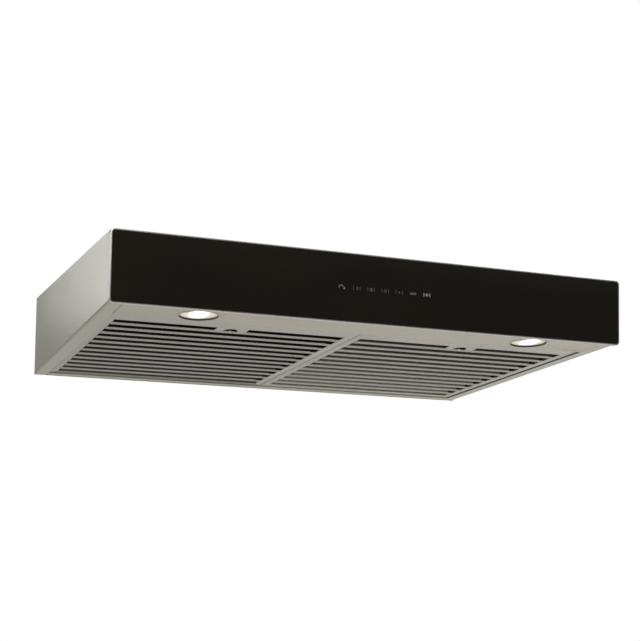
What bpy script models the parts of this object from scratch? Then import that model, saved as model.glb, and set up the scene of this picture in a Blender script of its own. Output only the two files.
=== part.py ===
"""Under cabinet range hood, built as separate pieces.

Metres, +Z up. The origin is the centre of the top mounting face, the front looks along -Y and
+X is the cook's right-hand side. The underside slopes down towards the wall, so everything in it
is modelled on an empty that stands at the underside's front edge and tilts with it: there, local
Y runs back along the underside and local Z points up into the hood.
"""

import math

import bmesh
import bpy
from mathutils import Matrix, Vector

# ---------------------------------------------------------------- driving dimensions
WIDTH = 0.759
DEPTH = 0.521
FRONT_HEIGHT = 0.0955
REAR_HEIGHT = 0.124
SHEET = 0.0010
THIN_SHEET = 0.0008
GAP = 0.0003
TO_ONE_SIDE = 1.0

FASCIA_DEPTH = 0.0085
FASCIA_RIM = 0.002
FASCIA_OVERHANG = 0.0015
GLASS_THICKNESS = 0.004
GLASS_CORNER = 0.0035

FLANGE_WIDTH = 0.0189
FOLD_RADIUS = 0.0025
LIGHT_PANEL_LENGTH = 0.0627
LAMP_X = 0.25
LAMP_STATION = 0.0302

FILTER_FRONT = 0.0632
FILTER_REAR = 0.4955
FILTER_RECESS = 0.0020
FILTER_HALF_WIDTH = 0.1789
FILTER_X = 0.1795
FILTER_HEIGHT = 0.013
FILTER_RAIL = 0.012
SLOT_COUNT = 13
SLOT_PITCH = 0.03045
SLOT_GAP = 0.017
FIRST_SLOT = 0.1068
REAR_RAIL_FRONT = 0.4972
REAR_RAIL_REAR = 0.5095
BRIDGE_HALF_WIDTH = 0.023
LATCH_FRONT = FIRST_SLOT - 0.0137
LATCH_LENGTH = 0.0172

PORT_WIDTH = 0.254
PORT_DEPTH = 0.083
PORT_Y = 0.1905
COLLAR_HEIGHT = 0.030
COLLAR_RIM_X = 0.016
COLLAR_RIM_Y = 0.008
COLLAR_FLANGE_TOP = -SHEET - GAP
DAMPER_AXIS_Y = 0.2275
DAMPER_AXIS_Z = 0.0105

BLOWER_X = -0.010
BLOWER_Y = -0.010
SCROLL_START_RADIUS = 0.097
SCROLL_END_RADIUS = 0.140
SCROLL_TOP = -0.0030
SCROLL_BOTTOM = -0.0803
SCROLL_MOUTH_Y = 0.1432
BLADE_COUNT = 30

# ---------------------------------------------------------------- derived values
FRONT_Y = -DEPTH / 2
REAR_Y = DEPTH / 2
BODY_FRONT_Y = FRONT_Y + FASCIA_DEPTH + GAP
BODY_REAR_Y = REAR_Y - SHEET - GAP
BODY_HALF_WIDTH = WIDTH / 2 - FASCIA_OVERHANG
BODY_FRONT_HEIGHT = FRONT_HEIGHT - FASCIA_OVERHANG
UNDERSIDE_RUN = REAR_Y - BODY_FRONT_Y
UNDERSIDE_DROP = REAR_HEIGHT - BODY_FRONT_HEIGHT
UNDERSIDE_TILT = math.atan2(UNDERSIDE_DROP, UNDERSIDE_RUN)
STRIP_HALF_WIDTH = BODY_HALF_WIDTH - FLANGE_WIDTH - GAP
SIDES = (("left", -1), ("right", 1))


# ---------------------------------------------------------------- scene, collections, finishes
def clear_scene():
    for item in list(bpy.data.objects):
        bpy.data.objects.remove(item, do_unlink=True)


def new_collection(name):
    group = bpy.data.collections.new(name)
    bpy.context.scene.collection.children.link(group)
    return group


def finish(name, colour, roughness, metallic):
    made = bpy.data.materials.new(name)
    made.use_nodes = True
    shader = made.node_tree.nodes["Principled BSDF"]
    shader.inputs["Base Color"].default_value = (*colour, 1.0)
    shader.inputs["Roughness"].default_value = roughness
    shader.inputs["Metallic"].default_value = metallic
    made.diffuse_color = (*colour, 1.0)
    return made


clear_scene()
PARTS = new_collection("under_cabinet_range_hood")
CUTTERS = new_collection("cutters")

STEEL = finish("brushed_stainless", (0.52, 0.50, 0.45), 0.35, 1.0)
GALVANISED = finish("galvanised_sheet", (0.48, 0.49, 0.50), 0.5, 1.0)
GLASS = finish("black_glass", (0.008, 0.007, 0.006), 0.08, 0.0)
CHROME = finish("lamp_bezel", (0.75, 0.74, 0.70), 0.2, 1.0)
LENS = finish("lamp_lens", (1.0, 0.97, 0.88), 0.3, 0.0)
ALUMINIUM = finish("cast_aluminium", (0.60, 0.60, 0.61), 0.45, 1.0)
BOARD = finish("circuit_board", (0.03, 0.18, 0.09), 0.5, 0.0)
BLACK_PLASTIC = finish("black_plastic", (0.02, 0.02, 0.02), 0.45, 0.0)
WHITE_PLASTIC = finish("white_plastic", (0.75, 0.74, 0.70), 0.4, 0.0)
CABLE = finish("cable_sheath", (0.12, 0.12, 0.13), 0.6, 0.0)
ZINC = finish("zinc_plated", (0.62, 0.63, 0.64), 0.35, 1.0)
MOTOR_PAINT = finish("motor_paint", (0.10, 0.10, 0.11), 0.5, 0.3)


# ---------------------------------------------------------------- shape helpers
def place(name, mesh, material, parent=None):
    """Put a mesh in the parts collection, or among the cutters when it has no material."""
    item = bpy.data.objects.new(name, mesh)
    if material:
        mesh.materials.append(material)
        PARTS.objects.link(item)
    else:
        CUTTERS.objects.link(item)
        item.hide_render = True
        item.display_type = "WIRE"
    item.parent = parent
    return item


def mesh_from(name, builder):
    mesh = bpy.data.meshes.new(name)
    bmesh.ops.recalc_face_normals(builder, faces=builder.faces)
    builder.to_mesh(mesh)
    builder.free()
    return mesh


def add_block(builder, low, high):
    low, high = Vector(low), Vector(high)
    middle = Matrix.Translation((low + high) / 2)
    stretch = Matrix.Diagonal((*(high - low), 1.0))
    bmesh.ops.create_cube(builder, size=1.0, matrix=middle @ stretch)


def blocks(name, boxes, material=None, parent=None):
    builder = bmesh.new()
    for low, high in boxes:
        add_block(builder, low, high)
    return place(name, mesh_from(name, builder), material, parent)


def block(name, low, high, material=None, parent=None):
    return blocks(name, [(low, high)], material, parent)


def bar(name, radius, start, end, sides, material=None, parent=None):
    """A round bar between two points."""
    start, end = Vector(start), Vector(end)
    along = end - start
    turn = along.to_track_quat("Z", "Y").to_matrix().to_4x4()
    builder = bmesh.new()
    bmesh.ops.create_cone(builder, cap_ends=True, segments=sides, radius1=radius, radius2=radius,
                          depth=along.length, matrix=Matrix.Translation((start + end) / 2) @ turn)
    return place(name, mesh_from(name, builder), material, parent)


def turned(name, profile, centre, steps, material=None, parent=None, closed=True):
    """Turn a profile of (radius, height) points about a vertical axis through centre."""
    builder = bmesh.new()
    points = [builder.verts.new((radius, 0.0, height)) for radius, height in profile]
    pairs = list(zip(points, points[1:]))
    if closed:
        pairs.append((points[-1], points[0]))
    for first, second in pairs:
        builder.edges.new((first, second))
    mesh = bpy.data.meshes.new(name)
    builder.to_mesh(mesh)
    builder.free()
    item = place(name, mesh, material, parent)
    item.location = centre
    screw = item.modifiers.new("turn", "SCREW")
    screw.steps = steps
    screw.render_steps = steps
    screw.use_merge_vertices = True
    screw.merge_threshold = 0.00001
    return item


def boolean(item, other, operation, name):
    change = item.modifiers.new(name, "BOOLEAN")
    change.operation = operation
    change.object = other


def cut(item, cutter):
    boolean(item, cutter, "DIFFERENCE", "cut_" + cutter.name)


def join(item, other):
    boolean(item, other, "UNION", "join_" + other.name)


def arc(centre, radius, start_degrees, end_degrees, pieces):
    """Points on an arc, as pairs in the profile's own plane."""
    points = []
    for step in range(pieces + 1):
        angle = math.radians(start_degrees + (end_degrees - start_degrees) * step / pieces)
        points.append((centre[0] + radius * math.cos(angle), centre[1] + radius * math.sin(angle)))
    return points


def solidify(item, thickness):
    shell = item.modifiers.new("thickness", "SOLIDIFY")
    shell.thickness = thickness
    shell.offset = TO_ONE_SIDE
    shell.use_even_offset = True


def drawn_sheet(name, profile, sweep):
    """An open sheet: a bent line of points, drawn along the sweep vector."""
    builder = bmesh.new()
    points = [builder.verts.new(point) for point in profile]
    edges = [builder.edges.new(pair) for pair in zip(points, points[1:])]
    drawn = bmesh.ops.extrude_edge_only(builder, edges=edges)["geom"]
    moved = [piece for piece in drawn if isinstance(piece, bmesh.types.BMVert)]
    bmesh.ops.translate(builder, verts=moved, vec=Vector(sweep))
    mesh = bpy.data.meshes.new(name)
    builder.to_mesh(mesh)
    builder.free()
    return mesh


def cable(name, points, radius, resolution=1, parent=None, material=None):
    """A cable or wire through the points, as a round bar with closed ends."""
    curve = bpy.data.curves.new(name, "CURVE")
    curve.dimensions = "3D"
    curve.bevel_depth = radius
    curve.bevel_resolution = resolution
    curve.use_fill_caps = True
    spline = curve.splines.new("POLY")
    spline.points.add(len(points) - 1)
    for knot, point in zip(spline.points, points):
        knot.co = (*point, 1.0)
    curve.materials.append(material or CABLE)
    item = bpy.data.objects.new(name, curve)
    PARTS.objects.link(item)
    item.parent = parent
    return item


def smooth_route(points, samples):
    """Points on a smooth curve (Catmull-Rom) through the route's own points."""
    route = [Vector(point) for point in points]
    padded = [2 * route[0] - route[1]] + route + [2 * route[-1] - route[-2]]
    smooth = []
    for index in range(len(route) - 1):
        before, start, end, after = padded[index:index + 4]
        for step in range(samples):
            t = step / samples
            smooth.append(0.5 * (2 * start + (end - before) * t
                                 + (2 * before - 5 * start + 4 * end - after) * t ** 2
                                 + (3 * start - before - 3 * end + after) * t ** 3))
    smooth.append(route[-1])
    return smooth


def on_underside(x, station, height):
    """World position of a point given in the underside's own frame."""
    cosine, sine = math.cos(UNDERSIDE_TILT), math.sin(UNDERSIDE_TILT)
    return Vector((x, BODY_FRONT_Y + station * cosine + height * sine,
                   -BODY_FRONT_HEIGHT - station * sine + height * cosine))


def underside_empty():
    guide = bpy.data.objects.new("underside_plane", None)
    PARTS.objects.link(guide)
    guide.location = (0.0, BODY_FRONT_Y, -BODY_FRONT_HEIGHT)
    guide.rotation_euler = (-UNDERSIDE_TILT, 0.0, 0.0)
    guide.empty_display_size = 0.05
    return guide


def filter_empty(underside_guide):
    """The filters sit a little above the underside's flanges, on a plane of their own."""
    guide = bpy.data.objects.new("filter_plane", None)
    PARTS.objects.link(guide)
    guide.parent = underside_guide
    guide.location = (0.0, 0.0, FILTER_RECESS)
    guide.empty_display_size = 0.05
    return guide


def screw(name, tip, head_base, head_radius, shank_radius, head_height):
    """A pan head screw. Its shank runs from the tip to the underside of the head."""
    tip, head_base = Vector(tip), Vector(head_base)
    length = (head_base - tip).length
    profile = [(0.0, length + head_height), (head_radius * 0.7, length + head_height),
               (head_radius, length + head_height * 0.5), (head_radius, length),
               (shank_radius, length), (shank_radius, 0.0), (0.0, 0.0)]
    item = turned(name, profile, tip, 10, ZINC, closed=False)
    item.rotation_euler = (head_base - tip).to_track_quat("Z", "Y").to_euler()
    return item


# ---------------------------------------------------------------- casing
def build_top_panel():
    half = BODY_HALF_WIDTH - SHEET - GAP
    panel = block("top_panel", (-half, BODY_FRONT_Y, -SHEET), (half, BODY_REAR_Y, 0.0), STEEL)
    port_x = PORT_WIDTH / 2 + GAP
    port_y = PORT_DEPTH / 2 + GAP
    cut(panel, block("port_opening", (-port_x, PORT_Y - port_y, -0.01), (port_x, PORT_Y + port_y, 0.01)))
    cut(panel, bar("wiring_hole", 0.0108, (0.265, -0.085, -0.0125), (0.265, -0.085, 0.01), 16))
    for side, sign in SIDES:
        for place_name, y in (("front", -0.13), ("rear", 0.13)):
            hole_name = f"keyhole_{place_name}_{side}"
            x = sign * 0.34
            cut(panel, bar(hole_name, 0.005, (x, y, -0.01), (x, y, 0.01), 16))
            cut(panel, block(hole_name + "_slot", (x - 0.0025, y, -0.01), (x + 0.0025, y + 0.013, 0.01)))
    return panel


def side_profile(sign):
    """Front outline of a side panel: down the side, round the fold, in along the bottom, up the lip."""
    outer = BODY_HALF_WIDTH
    bottom = -BODY_FRONT_HEIGHT
    inner = outer - FLANGE_WIDTH
    outline = [(outer, 0.0)]
    outline += arc((outer - FOLD_RADIUS, bottom + FOLD_RADIUS), FOLD_RADIUS, 0, -90, 4)
    outline += arc((inner + 0.0015, bottom + 0.0015), 0.0015, -90, -180, 2)
    outline.append((inner, bottom + 0.006))
    return [(sign * x, BODY_FRONT_Y, z) for x, z in outline]


def build_side_panel(side, sign):
    name = f"{side}_side_panel"
    run = BODY_REAR_Y - BODY_FRONT_Y
    mesh = drawn_sheet(name, side_profile(sign), (0.0, run, 0.0))
    for vertex in mesh.vertices:
        if vertex.co.y > 0.0 and vertex.co.z < -0.01:
            vertex.co.z -= run * math.tan(UNDERSIDE_TILT)
    if sign < 0:
        mesh.flip_normals()
    panel = place(name, mesh, STEEL)
    solidify(panel, SHEET)
    return panel


def build_rear_panel():
    half = BODY_HALF_WIDTH
    panel = block("rear_panel", (-half, REAR_Y - SHEET, -REAR_HEIGHT), (half, REAR_Y, 0.0), STEEL)
    cut(panel, block("rear_opening", (-0.120, 0.2, -0.095), (0.120, 0.3, -0.015)))
    block("rear_duct_cover", (-0.128, BODY_REAR_Y - THIN_SHEET, -0.103), (0.128, BODY_REAR_Y, -0.008),
          GALVANISED)


def build_rear_rail(guide):
    """The strip along the back of the underside. Its front lip carries the filters' rear tabs."""
    half = STRIP_HALF_WIDTH
    outline = [(-half, REAR_RAIL_FRONT, 0.0090), (-half, REAR_RAIL_FRONT, 0.0),
               (-half, REAR_RAIL_REAR, 0.0), (-half, REAR_RAIL_REAR, 0.012)]
    rail = place("rear_rail", drawn_sheet("rear_rail", outline, (2 * half, 0.0, 0.0)), STEEL, guide)
    solidify(rail, SHEET)


def build_light_panel(guide):
    """The strip behind the fascia. It holds both lamps, and its rear lip takes the filter latches."""
    half = STRIP_HALF_WIDTH
    outline = [(-half, 0.0006, 0.020), (-half, 0.0006, 0.0),
               (-half, LIGHT_PANEL_LENGTH, 0.0), (-half, LIGHT_PANEL_LENGTH, 0.010)]
    panel = place("light_panel", drawn_sheet("light_panel", outline, (2 * half, 0.0, 0.0)),
                  STEEL, guide)
    solidify(panel, SHEET)
    for side, sign in SIDES:
        spot = (sign * LAMP_X, LAMP_STATION)
        cut(panel, bar(f"lamp_hole_{side}", 0.0263, (*spot, -0.01), (*spot, 0.01), 24, parent=guide))


# ---------------------------------------------------------------- fascia and controls
def rounded_plate(name, half_width, low_z, high_z, front, back, radius, material=None):
    """A plate across the front with four rounded corners."""
    builder = bmesh.new()
    add_block(builder, (-half_width, front, low_z), (half_width, back, high_z))
    corners = [edge for edge in builder.edges
               if abs(edge.verts[0].co.y - edge.verts[1].co.y) > (back - front) / 2]
    bmesh.ops.bevel(builder, geom=corners, offset=radius, segments=4, profile=0.5, affect="EDGES")
    return place(name, mesh_from(name, builder), material)


def build_fascia():
    """A tray across the front, with the glass set flush inside its rim."""
    half = WIDTH / 2
    back = FRONT_Y + FASCIA_DEPTH
    frame = rounded_plate("front_frame", half, -FRONT_HEIGHT, 0.0, FRONT_Y, back,
                          GLASS_CORNER + FASCIA_RIM, STEEL)
    cut(frame, rounded_plate("fascia_tray", half - FASCIA_RIM, -FRONT_HEIGHT + FASCIA_RIM,
                             -FASCIA_RIM, FRONT_Y - 0.01, back - SHEET, GLASS_CORNER))
    cut(frame, block("control_window", (-0.080, FRONT_Y, -0.060), (0.080, 0.0, -0.036)))
    inset = FASCIA_RIM + GAP
    rounded_plate("glass_panel", half - inset, -FRONT_HEIGHT + inset, -inset, FRONT_Y,
                  FRONT_Y + GLASS_THICKNESS, GLASS_CORNER, GLASS)


def build_controls():
    block("touch_board", (-0.078, FRONT_Y + 0.0046, -0.058), (0.078, FRONT_Y + 0.0062, -0.038), BOARD)
    front = BODY_FRONT_Y
    housing = block("control_housing", (-0.086, front, -0.066), (0.086, front + 0.022, -0.030),
                    BLACK_PLASTIC)
    cut(housing, block("control_pocket", (-0.0845, front - 0.01, -0.0645),
                       (0.0845, front + 0.0205, -0.0315)))
    route = [(0.03, front + 0.0229, -0.045), (0.03, front + 0.032, -0.045), (0.06, -0.195, -0.036),
             (0.14, -0.188, -0.030), (0.205, -0.168, -0.026), (0.215, -0.1405, -0.026)]
    cable("control_cable", smooth_route(route, 4), 0.0022)


# ---------------------------------------------------------------- lamps
def build_lamp(side, sign, guide):
    centre = (sign * LAMP_X, LAMP_STATION, 0.0)
    bezel = [(0.0260, 0.0140), (0.0260, -0.0003), (0.02975, -0.0003), (0.0293, -0.0010),
             (0.0245, -0.0010), (0.0230, 0.0), (0.0250, 0.0020), (0.0250, 0.0140)]
    turned(f"lamp_bezel_{side}", bezel, centre, 24, CHROME, guide)
    lens = [(0.0, 0.0042), (0.0247, 0.0042), (0.0247, 0.0024), (0.0, 0.0024)]
    turned(f"lamp_lens_{side}", lens, centre, 24, LENS, guide, closed=False)
    led_board = [(0.0, 0.0116), (0.0240, 0.0116), (0.0240, 0.0100), (0.0, 0.0100)]
    turned(f"lamp_led_board_{side}", led_board, centre, 16, BOARD, guide, closed=False)
    housing = [(0.0035, 0.0260), (0.0278, 0.0260), (0.0278, 0.0016), (0.0264, 0.0016),
               (0.0264, 0.0240), (0.0035, 0.0240)]
    turned(f"lamp_housing_{side}", housing, centre, 24, ALUMINIUM, guide)


def build_lamp_cables():
    left_start = on_underside(-LAMP_X, LAMP_STATION, 0.0265)
    right_start = on_underside(LAMP_X, LAMP_STATION, 0.0265)
    left = [left_start, left_start + Vector((0.0, 0.0, 0.012)), (-0.225, -0.205, -0.036),
            (-0.12, -0.190, -0.020), (0.05, -0.180, -0.018), (0.18, -0.170, -0.018),
            (0.235, -0.160, -0.020), (0.240, -0.1405, -0.022)]
    right = [right_start, right_start + Vector((0.0, 0.0, 0.012)), (0.262, -0.200, -0.040),
             (0.270, -0.170, -0.030), (0.270, -0.1405, -0.028)]
    cable("lamp_cable_left", smooth_route(left, 4), 0.0018)
    cable("lamp_cable_right", smooth_route(right, 4), 0.0018)


# ---------------------------------------------------------------- wiring box
def build_wiring_box():
    low = (0.190, -0.140, -0.062)
    high = (0.340, 0.030, -SHEET - GAP)
    wall = THIN_SHEET
    box = block("wiring_box", low, high, GALVANISED)
    cut(box, block("wiring_pocket", (low[0] + wall, low[1] + wall, low[2] + wall),
                   (high[0] - wall, high[1] - wall, high[2] - wall)))
    cut(box, block("wiring_mouth", (low[0] + 0.010, low[1] + 0.010, low[2] - 0.01),
                   (high[0] - 0.010, high[1] - 0.010, low[2] + 0.002)))
    cut(box, bar("wiring_box_hole", 0.0108, (0.265, -0.085, -0.0125), (0.265, -0.085, 0.01), 16))
    cover = block("wiring_box_cover", (low[0], low[1], low[2] - GAP - wall),
                  (high[0], high[1], low[2] - GAP), GALVANISED)
    spot = (0.265, 0.0250)
    hole = bar("wiring_screw_hole", 0.0023, (*spot, -0.07), (*spot, -0.055), 10)
    cut(cover, hole)
    cut(box, hole)
    screw("wiring_cover_screw", (*spot, -0.055), (*spot, low[2] - 2 * GAP - wall), 0.0036, 0.0018,
          0.0022)
    block("main_board", (0.205, -0.130, -0.0316), (0.325, -0.045, -0.030), BOARD)
    terminals = block("terminal_block", (0.205, -0.030, -0.022), (0.250, 0.010, -0.006),
                      WHITE_PLASTIC)
    ways = [((0.2095 + 0.013 * way, -0.034, -0.030), (0.2185 + 0.013 * way, -0.020, -0.012))
            for way in range(3)]
    cut(terminals, blocks("terminal_ways", ways))
    bar("run_capacitor", 0.014, (0.300, -0.035, -0.024), (0.300, 0.020, -0.024), 20, BLACK_PLASTIC)
    route = [(0.1897, -0.020, -0.010), (0.175, -0.020, -0.010), (0.155, -0.016, -0.010),
             (0.130, -0.015, -0.010), (0.080, -0.012, -0.010),
             (BLOWER_X + 0.0458, BLOWER_Y, -0.010)]
    cable("motor_cable", smooth_route(route, 3), 0.0022)


# ---------------------------------------------------------------- blower
def scroll_outline(extra):
    """The scroll seen from above: a spiral that widens round the wheel, then a straight mouth."""
    pieces = 20
    outline = [(BLOWER_X + SCROLL_START_RADIUS * 0.5 - extra, SCROLL_MOUTH_Y)]
    for step in range(pieces + 1):
        share = step / pieces
        angle = math.radians(60 + 300 * share)
        radius = extra + SCROLL_START_RADIUS + share * (SCROLL_END_RADIUS - SCROLL_START_RADIUS)
        outline.append((BLOWER_X + radius * math.cos(angle), BLOWER_Y + radius * math.sin(angle)))
    outline.append((BLOWER_X + SCROLL_END_RADIUS + extra, SCROLL_MOUTH_Y))
    return outline


def build_scroll():
    band_points = [(x, y, SCROLL_TOP) for x, y in scroll_outline(0.0)]
    height = SCROLL_BOTTOM - SCROLL_TOP
    band = place("scroll_band", drawn_sheet("scroll_band", band_points, (0.0, 0.0, height)), GALVANISED)
    solidify(band, THIN_SHEET)
    cut(band, bar("motor_cable_hole", 0.0035, (0.120, -0.015, -0.010), (0.140, -0.015, -0.010), 10))

    builder = bmesh.new()
    corners = [builder.verts.new((x, y, SCROLL_BOTTOM - GAP)) for x, y in scroll_outline(0.003)]
    plate = builder.faces.new(corners)
    grown = bmesh.ops.extrude_face_region(builder, geom=[plate])["geom"]
    moved = [piece for piece in grown if isinstance(piece, bmesh.types.BMVert)]
    bmesh.ops.translate(builder, verts=moved, vec=(0.0, 0.0, -THIN_SHEET))
    inlet = place("scroll_inlet_plate", mesh_from("scroll_inlet_plate", builder), GALVANISED)
    spot = (BLOWER_X, BLOWER_Y)
    cut(inlet, bar("inlet_hole", 0.0705, (*spot, -0.1), (*spot, -0.07), 32))

    ring = [(0.0692, -0.0720), (0.0692, -0.0819), (0.0800, -0.0819), (0.0800, -0.0831),
            (0.0708, -0.0831), (0.0678, -0.0800), (0.0678, -0.0720)]
    turned("inlet_ring", ring, (BLOWER_X, BLOWER_Y, 0.0), 30, BLACK_PLASTIC)


def build_base_plate(top_panel):
    top = -SHEET - GAP
    plate = block("blower_base_plate", (-0.145, -0.155, top - SHEET), (0.145, 0.1405, top), GALVANISED)
    number = 0
    for x in (-0.138, 0.138):
        for y in (-0.148, 0.133):
            number += 1
            hole = bar(f"blower_screw_hole_{number}", 0.0023, (x, y, -0.01), (x, y, 0.01), 10)
            cut(plate, hole)
            cut(top_panel, hole)
            screw(f"blower_screw_{number}", (x, y, -GAP), (x, y, top - SHEET - GAP), 0.0036, 0.0018,
                  0.0022)


def build_plenum():
    """The box that turns the air up into the duct."""
    low = (-0.1315, 0.1440, -0.0815)
    high = (0.1325, 0.2380, COLLAR_FLANGE_TOP - THIN_SHEET - GAP)
    wall = THIN_SHEET
    box = block("outlet_plenum", low, high, GALVANISED)
    cut(box, block("plenum_pocket", (low[0] + wall, low[1] + wall, low[2] + wall),
                   (high[0] - wall, high[1] - wall, 0.01)))
    mouth_left = BLOWER_X + SCROLL_START_RADIUS * 0.5
    mouth_right = BLOWER_X + SCROLL_END_RADIUS
    cut(box, block("plenum_mouth", (mouth_left, 0.13, SCROLL_BOTTOM), (mouth_right, 0.15, SCROLL_TOP)))


def build_wheel_and_motor():
    centre = (BLOWER_X, BLOWER_Y, 0.0)
    wheel_profile = [(0.0880, -0.0160), (0.0880, -0.0700), (0.0700, -0.0700), (0.0700, -0.0178),
                     (0.0585, -0.0178), (0.0520, -0.0518), (0.0100, -0.0518), (0.0100, -0.0620),
                     (0.0043, -0.0620), (0.0043, -0.0480), (0.0100, -0.0480), (0.0100, -0.0500),
                     (0.0505, -0.0500), (0.0568, -0.0160)]
    wheel = turned("blower_wheel", wheel_profile, centre, BLADE_COUNT, ALUMINIUM)
    builder = bmesh.new()
    for number in range(BLADE_COUNT):
        before = set(builder.verts)
        add_block(builder, (0.0670, -0.0067, -0.0675), (0.0920, 0.0067, -0.0195))
        added = [vertex for vertex in builder.verts if vertex not in before]
        turn = math.tau * (number + 0.5) / BLADE_COUNT
        bmesh.ops.rotate(builder, verts=added, cent=(0, 0, 0), matrix=Matrix.Rotation(turn, 3, "Z"))
    slots = place("blade_slots", mesh_from("blade_slots", builder), None)
    slots.location = centre
    cut(wheel, slots)

    motor_profile = [(0.0, -0.0033), (0.062, -0.0033), (0.062, -0.0048), (0.045, -0.0048),
                     (0.045, -0.0420), (0.040, -0.0455), (0.009, -0.0455), (0.009, -0.0475),
                     (0.0045, -0.0475), (0.0045, -0.0080), (0.0, -0.0080)]
    turned("motor", motor_profile, centre, 24, MOTOR_PAINT, closed=False)
    bar("motor_shaft", 0.004, (BLOWER_X, BLOWER_Y, -0.0690), (BLOWER_X, BLOWER_Y, -0.0085), 12, ZINC)
    nut = [(0.0075, -0.0623), (0.0075, -0.0673), (0.0050, -0.0673), (0.0050, -0.0623)]
    turned("wheel_nut", nut, centre, 6, ZINC)


# ---------------------------------------------------------------- duct collar and damper
def build_collar(top_panel):
    """The collar's flange lies against the underside of the top panel, and its walls rise through."""
    half_x, half_y = PORT_WIDTH / 2, PORT_DEPTH / 2
    rim_x, rim_y = half_x + COLLAR_RIM_X, half_y + COLLAR_RIM_Y
    flange_bottom = COLLAR_FLANGE_TOP - THIN_SHEET
    collar = block("duct_collar", (-rim_x, PORT_Y - rim_y, flange_bottom),
                   (rim_x, PORT_Y + rim_y, COLLAR_FLANGE_TOP), GALVANISED)
    join(collar, block("collar_wall", (-half_x, PORT_Y - half_y, flange_bottom + THIN_SHEET / 2),
                       (half_x, PORT_Y + half_y, COLLAR_HEIGHT)))
    cut(collar, block("collar_bore", (-half_x + THIN_SHEET, PORT_Y - half_y + THIN_SHEET, -0.01),
                      (half_x - THIN_SHEET, PORT_Y + half_y - THIN_SHEET, 0.05)))
    axis = (DAMPER_AXIS_Y, DAMPER_AXIS_Z)
    cut(collar, bar("axle_holes", 0.0019, (-0.14, *axis), (0.14, *axis), 12))
    for side, sign in SIDES:
        spot = (sign * 0.138, PORT_Y)
        hole = bar(f"collar_screw_hole_{side}", 0.0023, (*spot, -0.01), (*spot, 0.01), 10)
        cut(collar, hole)
        cut(top_panel, hole)
        screw(f"collar_screw_{side}", (*spot, -GAP), (*spot, flange_bottom - GAP), 0.0034, 0.0016, 0.0020)


def build_damper():
    half_x = PORT_WIDTH / 2 - THIN_SHEET - 0.0015
    front = PORT_Y - PORT_DEPTH / 2 + THIN_SHEET + 0.0012
    axis = (DAMPER_AXIS_Y, DAMPER_AXIS_Z)
    flap = block("damper_flap", (-half_x, front, DAMPER_AXIS_Z - 0.0004),
                 (half_x, DAMPER_AXIS_Y - 0.001, DAMPER_AXIS_Z + 0.0004), GALVANISED)
    join(flap, bar("flap_hem", 0.0028, (-half_x + 0.001, *axis), (half_x - 0.001, *axis), 12))
    cut(flap, bar("flap_bore", 0.0019, (-0.14, *axis), (0.14, *axis), 12))
    bar("damper_axle", 0.0015, (-0.1278, *axis), (0.1278, *axis), 10, ZINC)


# ---------------------------------------------------------------- grease filters
def slot_station(number):
    return FIRST_SLOT + number * SLOT_PITCH


def build_filter_frame(side, x, guide):
    half = FILTER_HALF_WIDTH
    last_edge = slot_station(SLOT_COUNT - 1) + SLOT_GAP / 2
    first_edge = FIRST_SLOT - SLOT_GAP / 2
    frame = block(f"filter_frame_{side}", (x - half, FILTER_FRONT, 0.0),
                  (x + half, FILTER_REAR, FILTER_HEIGHT), STEEL, guide)
    for tab, offset in (("a", -0.09), ("b", 0.09)):
        join(frame, block(f"rear_tab_{tab}_{side}", (x + offset - 0.012, FILTER_REAR - 0.0005, 0.0078),
                          (x + offset + 0.012, FILTER_REAR + 0.0075, 0.0088), None, guide))
    cut(frame, block(f"filter_channel_{side}", (x - half + 0.001, FILTER_FRONT + 0.001, 0.0008),
                     (x + half - 0.001, FILTER_REAR - 0.001, FILTER_HEIGHT - 0.0008), None, guide))
    cut(frame, block(f"filter_mouth_{side}", (x - half + FILTER_RAIL, first_edge, -0.01),
                     (x + half - FILTER_RAIL, last_edge, 0.002), None, guide))
    cut(frame, block(f"filter_top_{side}", (x - half + 0.007, FILTER_FRONT + 0.007, 0.010),
                     (x + half - 0.007, FILTER_REAR - 0.007, 0.02), None, guide))
    cut(frame, block(f"latch_window_{side}", (x - 0.0075, FILTER_FRONT - 0.002, 0.0030),
                     (x + 0.0075, FILTER_FRONT + 0.002, 0.0054), None, guide))


def build_lower_slats(side, x, guide):
    """Slats between the slots, with an upturned lip on each edge, joined along both sides."""
    half = FILTER_HALF_WIDTH - 0.0013
    opening = FILTER_HALF_WIDTH - FILTER_RAIL
    lip = 0.0008
    start = FIRST_SLOT + SLOT_GAP / 2
    end = slot_station(SLOT_COUNT - 1) - SLOT_GAP / 2
    slats = block(f"filter_slats_{side}", (x - half, start, 0.0011), (x + half, end, 0.0060), STEEL,
                  guide)
    slots = []
    pockets = []
    for number in range(1, SLOT_COUNT):
        front_edge = slot_station(number - 1) + SLOT_GAP / 2
        rear_edge = slot_station(number) - SLOT_GAP / 2
        pockets.append(((x - opening - 0.004, front_edge + lip, 0.0019),
                        (x + opening + 0.004, rear_edge - lip, 0.0100)))
        if number < SLOT_COUNT - 1:
            slots.append(((x - opening, rear_edge, -0.01), (x + opening, rear_edge + SLOT_GAP, 0.02)))
    channels = [((x - half + lip, start + lip, 0.0019), (x - opening - lip, end - lip, 0.0100)),
                ((x + opening + lip, start + lip, 0.0019), (x + half - lip, end - lip, 0.0100))]
    cut(slats, blocks(f"slat_slots_{side}", slots, None, guide))
    cut(slats, blocks(f"slat_pockets_{side}", pockets, None, guide))
    cut(slats, blocks(f"slat_channels_{side}", channels, None, guide))


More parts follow.
